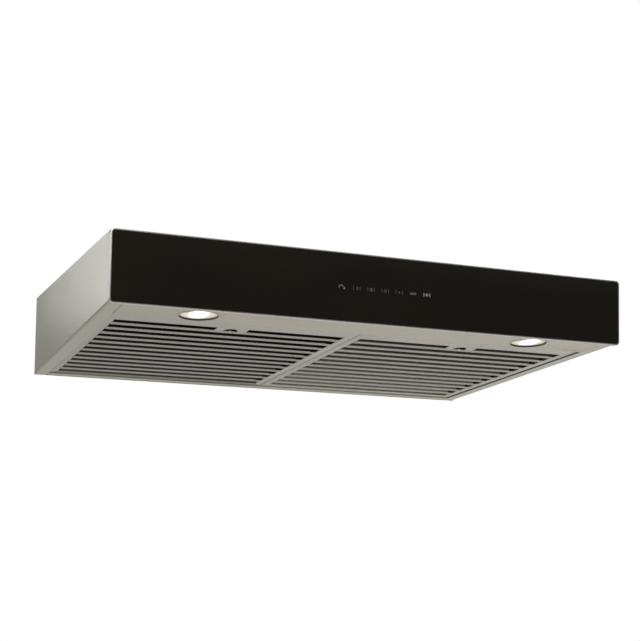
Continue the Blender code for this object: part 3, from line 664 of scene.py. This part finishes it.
def icon_ring(builder, x, z, radius, width, start, end, pieces=20):
    """An arc of a printed ring, as a closed band."""
    loops = []
    for step in range(pieces + 1):
        angle = math.radians(start + (end - start) * step / pieces)
        loops.append([(x + r * math.cos(angle), y, z + r * math.sin(angle))
                      for r, y in ((radius, ICON_FACE_Y), (radius + width, ICON_FACE_Y),
                                   (radius + width, ICON_BACK_Y), (radius, ICON_BACK_Y))])
    join_loops(builder, loops)


def make_icons():
    """A row of touch symbols: a lamp, speed steps between brackets, a bar and a switch."""
    inner_bars = {1: ((0.0, 0.0010, 0.0048), (0.0022, 0.0006, 0.0040)),
                  2: ((-0.0016, 0.0010, 0.0046), (0.0004, 0.0012, 0.0056),
                      (0.0024, 0.0008, 0.0046)),
                  3: ((-0.0014, 0.0008, 0.0040), (0.0010, 0.0014, 0.0052)),
                  4: ((0.0, 0.0026, 0.0030),)}
    for number in range(ICON_COUNT):
        x = (number - ICON_COUNT // 2) * ICON_PITCH + ICON_MIDDLE_X
        builder = bmesh.new()
        if number == 0:
            icon_ring(builder, x - 0.0018, ICON_MIDDLE_Z - 0.0004, 0.0026, 0.0009, 15, 195)
            icon_bar(builder, x + 0.0026, ICON_MIDDLE_Z - 0.0014, 0.0026, 0.0026)
        elif number == 5:
            icon_bar(builder, x, ICON_MIDDLE_Z, 0.0100, 0.0034)
        elif number == 6:
            for column in (-0.0046, 0.0044):
                icon_bar(builder, x + column, ICON_MIDDLE_Z, 0.0014, 0.0056)
            icon_bar(builder, x, ICON_MIDDLE_Z, 0.0044, 0.0042)
        else:
            for column in (-0.0050, 0.0048):
                icon_bar(builder, x + column, ICON_MIDDLE_Z, 0.0007, 0.0056)
            for offset, width, height in inner_bars[number]:
                icon_bar(builder, x + offset, ICON_MIDDLE_Z, width, height)
        material = ICON_BRIGHT if number in (0, 6) else ICON_DIM
        finish_mesh(f"touch_icon_{number + 1}", builder, material, "hood")


# ---------------------------------------------------------------- lamps
def make_lamp(side, sign):
    """A lamp's ring, the well inside it, dark brown with painted shade warmed by the lamp, and the
    lit glass, each turned about its axis.
    """
    x = sign * LAMP_X
    builder = bmesh.new()
    ring = [(0.0265, 0.0100), (0.0265, -0.0001), (0.0290, -0.0001), (0.02975, -0.0002),
            (0.0296, -0.0004), (0.0288, -0.0005), (0.0268, -0.0005), (0.0265, -0.0004),
            (0.0264, -0.0002), (0.0264, 0.0100)]
    turned_piece(builder, ring, x, LAMP_STATION, LAMP_STEPS)
    finish_mesh(f"lamp_ring_{side}", builder, LAMP_RING, "hood",
                [f"lamp_bezel_{side}"], EDGE_CREASE)
    builder = bmesh.new()
    well = [(0.02635, -0.0004), (0.02625, -0.0004), (0.0261, 0.0029), (0.0256, 0.0031),
            (0.0250, 0.0040), (0.0250, 0.0090), (0.02635, 0.0090)]
    turned_piece(builder, well, x, LAMP_STATION, LAMP_STEPS)
    finish_mesh(f"lamp_well_{side}", builder, LAMP_WELL_SHADE, "hood", (), EDGE_CREASE)
    builder = bmesh.new()
    lens = [(0.0, -0.0003), (0.010, -0.0001), (0.018, 0.0006), (0.0235, 0.0019),
            (0.0258, 0.0028), (0.0249, 0.0036), (0.0, 0.0036)]
    turned_disc(builder, lens, x, LAMP_STATION, LAMP_STEPS)
    hot_spot = under(x - LIT_CENTRE_SIDEWAYS, LAMP_STATION - LIT_CENTRE_FORWARD, 0.0)
    glow = glowing(f"lamp_glow_{side}", LIT_COLOUR, LIT_STRENGTH, hot_spot, LIT_INNER, LIT_OUTER,
                   LIT_RIM_STRENGTH)
    finish_mesh(f"lamp_glass_{side}", builder, glow, "hood",
                [f"lamp_lens_{side}"], GLASS_CREASE)


# ---------------------------------------------------------------- grease filters
def slot_station(number):
    """The middle of a slot, counted from the front."""
    return FIRST_SLOT + number * SLOT_PITCH


def filter_channel(centre):
    """A channel round the filter, with a bottom flange that is wider in front and behind."""
    path = rounded_path([(CHANNEL_TOP_FLANGE, CHANNEL_WALL), (0.0, CHANNEL_WALL), (0.0, 0.0),
                         (FILTER_RAIL, 0.0), (FILTER_RAIL, CHANNEL_LIP)], CHANNEL_FOLD, 4)
    outline = thick_outline(path, CHANNEL_SHEET)
    front_extra = FIRST_SLOT - SLOT_GAP / 2 - FILTER_FRONT - FILTER_RAIL
    rear_extra = FILTER_REAR - slot_station(SLOT_COUNT - 1) - SLOT_GAP / 2 - FILTER_RAIL
    loops = []
    for across, along in ((-1, -1), (1, -1), (1, 1), (-1, 1)):
        loop = []
        for point in outline:
            inside = point.x > FILTER_RAIL / 2 and point.y < CHANNEL_WALL / 2
            extra = (front_extra if along < 0 else rear_extra) if inside else 0.0
            height = min(point.y, CHANNEL_FRONT_LIP) if inside and along < 0 else point.y
            if along < 0:
                station = FILTER_FRONT + point.x + extra
            else:
                station = FILTER_REAR - point.x - extra
            loop.append(in_filter(centre + across * (FILTER_HALF_WIDTH - point.x), station, height))
        loops.append(loop)
    builder = bmesh.new()
    join_loops(builder, loops, closed=True)
    return builder


def add_rear_tabs(builder, centre):
    """Two flat tabs that reach over the rear rail's front lip."""
    path = [Vector((FILTER_REAR - 0.0006, TAB_HEIGHT)),
            Vector((FILTER_REAR + TAB_REACH, TAB_HEIGHT))]
    for offset in (-TAB_OFFSET, TAB_OFFSET):
        folded_strip(builder, path, TAB_SHEET, centre + offset - TAB_HALF_WIDTH,
                     centre + offset + TAB_HALF_WIDTH, in_filter)


def cut_tongue_window(channel, centre):
    """The window in the channel's front wall through which the latch's tongue slides."""
    window = [(centre - WINDOW_HALF_WIDTH, WINDOW_LOW), (centre + WINDOW_HALF_WIDTH, WINDOW_LOW),
              (centre + WINDOW_HALF_WIDTH, WINDOW_HIGH), (centre - WINDOW_HALF_WIDTH, WINDOW_HIGH)]
    cutter = bmesh.new()
    join_loops(cutter, [[in_filter(x, station, height) for x, height in window]
                        for station in (FILTER_FRONT - 0.0010, FILTER_FRONT + 0.0022)])
    cut_with(channel, cutter)


def shade_rear_flange(channel):
    """Give the flange behind the last slot a darker steel as painted shade, where less light falls
    on it.
    """
    flange_start = slot_station(SLOT_COUNT - 1) + SLOT_GAP / 2 - GAP
    repaint(channel, STEEL_SHADED_FLANGE,
            lambda face: (face.center - FILTER_ORIGIN).dot(FILTER_REARWARD) > flange_start)


def make_slats(side, centre):
    """Slats with folded lips. The lips stop short of the right rail, where the slats are flat."""
    opening = FILTER_HALF_WIDTH - FILTER_RAIL
    builder = bmesh.new()
    for number in range(1, SLOT_COUNT):
        front = slot_station(number - 1) + SLOT_GAP / 2
        rear = slot_station(number) - SLOT_GAP / 2
        path = rounded_path([(front, SLAT_HIGH), (front, SLAT_LOW), (rear, SLAT_LOW),
                             (rear, SLAT_HIGH)], SLAT_FOLD, 5)
        folded_strip(builder, path, SLAT_SHEET, centre - opening + SLAT_CLEARANCE,
                     centre + opening - LIP_RELIEF, in_filter)
        flat = [Vector((front + FLAT_INSET, SLAT_LOW)), Vector((rear - FLAT_INSET, SLAT_LOW))]
        folded_strip(builder, flat, SLAT_SHEET, centre + opening - LIP_RELIEF - FLAT_OVERLAP,
                     centre + opening - SLAT_CLEARANCE, in_filter)
    slats = finish_mesh(f"filter_slat_set_{side}", builder, STEEL_FILTER, f"filter_{side}",
                        [f"filter_slats_{side}"], FOLD_CREASE)
    # The light in the slots is part of the lips' colour: less on the left, more on the right.
    repaint(slats, STEEL_SHADE if side == "left" else STEEL_PALE_SHADE,
            lambda face: (face.center - FILTER_ORIGIN).dot(FILTER_INWARD) > SLAT_LOW + 0.0005)


def finger_hole(steps=24):
    """An arch whose flat side lies to the rear, with a small tapered tongue standing into it."""
    arch = [(FINGER_HALF_WIDTH * math.cos(math.pi * step / steps),
             -FINGER_REACH * math.sin(math.pi * step / steps)) for step in range(steps + 1)]
    tip = TONGUE_HALF_WIDTH * TONGUE_TAPER
    tongue = [(-TONGUE_HALF_WIDTH, 0.0), (-tip, -TONGUE_REACH), (tip, -TONGUE_REACH),
              (TONGUE_HALF_WIDTH, 0.0)]
    return arch + tongue


def make_bridge(side, centre):
    """The plate that closes the middle of the first slot, with its arched finger pull."""
    front = FIRST_SLOT - SLOT_GAP / 2 + GAP
    rear = FIRST_SLOT + SLOT_GAP / 2 - GAP
    step = front + 0.0004
    path = rounded_path([(front - BRIDGE_OVERLAP, BRIDGE_RISE), (step, BRIDGE_RISE),
                         (step + BRIDGE_STEP, 0.0), (rear, 0.0)], BRIDGE_FOLD, 3)
    builder = bmesh.new()
    folded_strip(builder, path, BRIDGE_SHEET, centre - BRIDGE_HALF_WIDTH,
                 centre + BRIDGE_HALF_WIDTH, in_filter)
    bridge = finish_mesh(f"latch_plate_{side}", builder, STEEL_RAIL, f"filter_{side}",
                         [f"latch_bridge_{side}"], FOLD_CREASE)
    cutter = bmesh.new()
    join_loops(cutter, [[in_filter(centre + x, rear - FINGER_SETBACK + y, height)
                         for x, y in finger_hole()] for height in (-0.0020, 0.0024)])
    cut_with(bridge, cutter)
    # The finger pull's cut walls get the lips' dark steel as painted shade.
    repaint(bridge, STEEL_SHADE,
            lambda face: abs(face.normal.dot(FILTER_INWARD)) < 0.3
            and abs(face.center.x - centre) < FINGER_ZONE)


def make_filter(side, sign):
    """One grease filter: its channel with tabs, its slats and its latch plate."""
    centre = sign * FILTER_X
    builder = filter_channel(centre)
    add_rear_tabs(builder, centre)
    channel = finish_mesh(f"filter_channel_{side}", builder, STEEL_RAIL, f"filter_{side}",
                          [f"filter_frame_{side}"], FOLD_CREASE)
    cut_tongue_window(channel, centre)
    # Only the left filter's rear flange gets this painted shade.
    if side == "left":
        shade_rear_flange(channel)
    make_slats(side, centre)
    make_bridge(side, centre)


# ---------------------------------------------------------------- materials of the CAD nodes
CAD_FINISHES = {
    "top_panel": STEEL_ACROSS, "rear_panel": STEEL_ACROSS, "rear_duct_cover": ZINC_SHEET,
    # The baffles and the latches get dark steels that are painted shade, as they sit in the hood's
    # shadow.
    "filter_baffles": STEEL_DEEP_SHADE, "filter_latch": STEEL_SHADE,
    "latch_spring": PLATED, "blower_base_plate": ZINC_SHEET, "scroll": ZINC_SHEET,
    "outlet_plenum": ZINC_SHEET, "duct_collar": ZINC_SHEET, "damper_flap": ZINC_SHEET,
    "damper_axle": PLATED, "wiring_box": ZINC_SHEET, "wiring_cover_screw": PLATED,
    "lamp_led_board": BOARD, "lamp_housing": CAST, "touch_board": BOARD, "main_board": BOARD,
    "control_housing": BLACK, "control_cable": SHEATH, "motor_cable": SHEATH, "lamp_cable": SHEATH,
    "terminal_block": WHITE, "run_capacitor": BLACK, "inlet_ring": BLACK, "blower_wheel": CAST,
    "motor_shaft": PLATED, "motor": PAINT, "wheel_nut": PLATED, "blower_screw": PLATED,
    "collar_screw": PLATED,
}


def paint_cad_nodes():
    """Give each CAD node that still shows its finish: the longest name that it starts with."""
    for name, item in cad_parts.items():
        keys = [key for key in CAD_FINISHES if name.startswith(key)]
        if not keys:
            continue
        item.data.materials.clear()
        item.data.materials.append(CAD_FINISHES[max(keys, key=len)])


# ---------------------------------------------------------------- floor, light and camera
def make_floor():
    builder = bmesh.new()
    bmesh.ops.create_circle(builder, cap_ends=True, segments=96, radius=FLOOR_RADIUS)
    mesh = bpy.data.meshes.new("floor")
    builder.to_mesh(mesh)
    builder.free()
    floor = bpy.data.objects.new("floor", mesh)
    floor.location = FLOOR_PLACE
    mesh.materials.append(grained("floor_paint", (0.86, 0.86, 0.85), 0.8, 0.0, 30.0, 0.01, 0.02))
    bpy.context.scene.collection.objects.link(floor)


def make_world():
    """White to the camera. For light and reflections it is dim in front, paler behind and above."""
    world = bpy.data.worlds.new("studio")
    bpy.context.scene.world = world
    world.use_nodes = True
    tree = world.node_tree
    tree.nodes.clear()
    wire = tree.links.new
    coordinates = tree.nodes.new("ShaderNodeTexCoord")
    split = tree.nodes.new("ShaderNodeSeparateXYZ")
    wire(coordinates.outputs["Generated"], split.inputs["Vector"])
    back = tree.nodes.new("ShaderNodeMapRange")
    back.inputs["From Min"].default_value = -0.6
    back.inputs["From Max"].default_value = 0.8
    back.inputs["To Min"].default_value = WORLD_FRONT
    back.inputs["To Max"].default_value = WORLD_BACK
    wire(split.outputs["Y"], back.inputs["Value"])
    above = tree.nodes.new("ShaderNodeMapRange")
    above.inputs["From Min"].default_value = 0.3
    above.inputs["From Max"].default_value = 0.8
    above.inputs["To Max"].default_value = WORLD_TOP
    wire(split.outputs["Z"], above.inputs["Value"])
    total = tree.nodes.new("ShaderNodeMath")
    wire(back.outputs["Result"], total.inputs[0])
    wire(above.outputs["Result"], total.inputs[1])
    studio = tree.nodes.new("ShaderNodeBackground")
    studio.inputs["Color"].default_value = (1.0, 0.985, 0.95, 1.0)
    wire(total.outputs["Value"], studio.inputs["Strength"])
    seen = tree.nodes.new("ShaderNodeBackground")
    seen.inputs["Color"].default_value = (1.0, 1.0, 1.0, 1.0)
    seen.inputs["Strength"].default_value = 1.0
    path = tree.nodes.new("ShaderNodeLightPath")
    choose = tree.nodes.new("ShaderNodeMixShader")
    wire(path.outputs["Is Camera Ray"], choose.inputs["Fac"])
    wire(studio.outputs["Background"], choose.inputs[1])
    wire(seen.outputs["Background"], choose.inputs[2])
    output = tree.nodes.new("ShaderNodeOutputWorld")
    wire(choose.outputs["Shader"], output.inputs["Surface"])


def make_light(name, place, target, size, power, colour=(1.0, 0.98, 0.95)):
    light = bpy.data.lights.new(name, "AREA")
    light.shape = "SQUARE"
    light.size = size
    light.energy = power
    light.color = colour
    lamp = bpy.data.objects.new(name, light)
    lamp.location = place
    lamp.rotation_euler = (Vector(target) - Vector(place)).to_track_quat("-Z", "Y").to_euler()
    lamp.visible_camera = False
    bpy.context.scene.collection.objects.link(lamp)


def make_lights():
    make_light("side_light", (-0.70, 0.48, 0.12), (-0.378, -0.15, -0.03), 0.25, 0.235,
               (1.0, 1.0, 1.06))
    make_light("front_light", (-1.4, -2.2, 1.6), (0.0, 0.0, -0.1), 1.6, 30.0)
    make_light("floor_light", (2.4, 2.4, 1.1), (1.85, 2.5, -0.95), 1.6, 30.0)


def make_camera():
    """A long lens in front of the hood and below it, tilted up, with its frame slid up as well."""
    yaw, pitch, roll = CAMERA_TURN
    forward = Vector((math.sin(yaw) * math.cos(pitch), math.cos(yaw) * math.cos(pitch),
                      math.sin(pitch)))
    level = Vector((math.cos(yaw), -math.sin(yaw), 0.0))
    upright = level.cross(forward)
    right = math.cos(roll) * level + math.sin(roll) * upright
    up = math.cos(roll) * upright - math.sin(roll) * level
    turn = Matrix((right, up, -forward)).transposed()
    camera = bpy.data.cameras.new("camera")
    camera.lens = CAMERA_LENS
    camera.sensor_width = 36.0
    camera.shift_y = CAMERA_SHIFT
    holder = bpy.data.objects.new("camera", camera)
    holder.matrix_world = Matrix.Translation(CAMERA_PLACE) @ turn.to_4x4()
    bpy.context.scene.collection.objects.link(holder)
    bpy.context.scene.camera = holder


# ---------------------------------------------------------------- assembly
for side_name, side_sign in SIDES:
    make_side_panel(side_name, side_sign)
    make_lamp(side_name, side_sign)
    make_filter(side_name, side_sign)
make_light_panel()
make_rear_rail()
make_fascia_frame()
make_glass()
make_icons()
paint_cad_nodes()
make_floor()
make_world()
make_lights()
make_camera()
bpy.context.scene.view_settings.view_transform = "Standard"
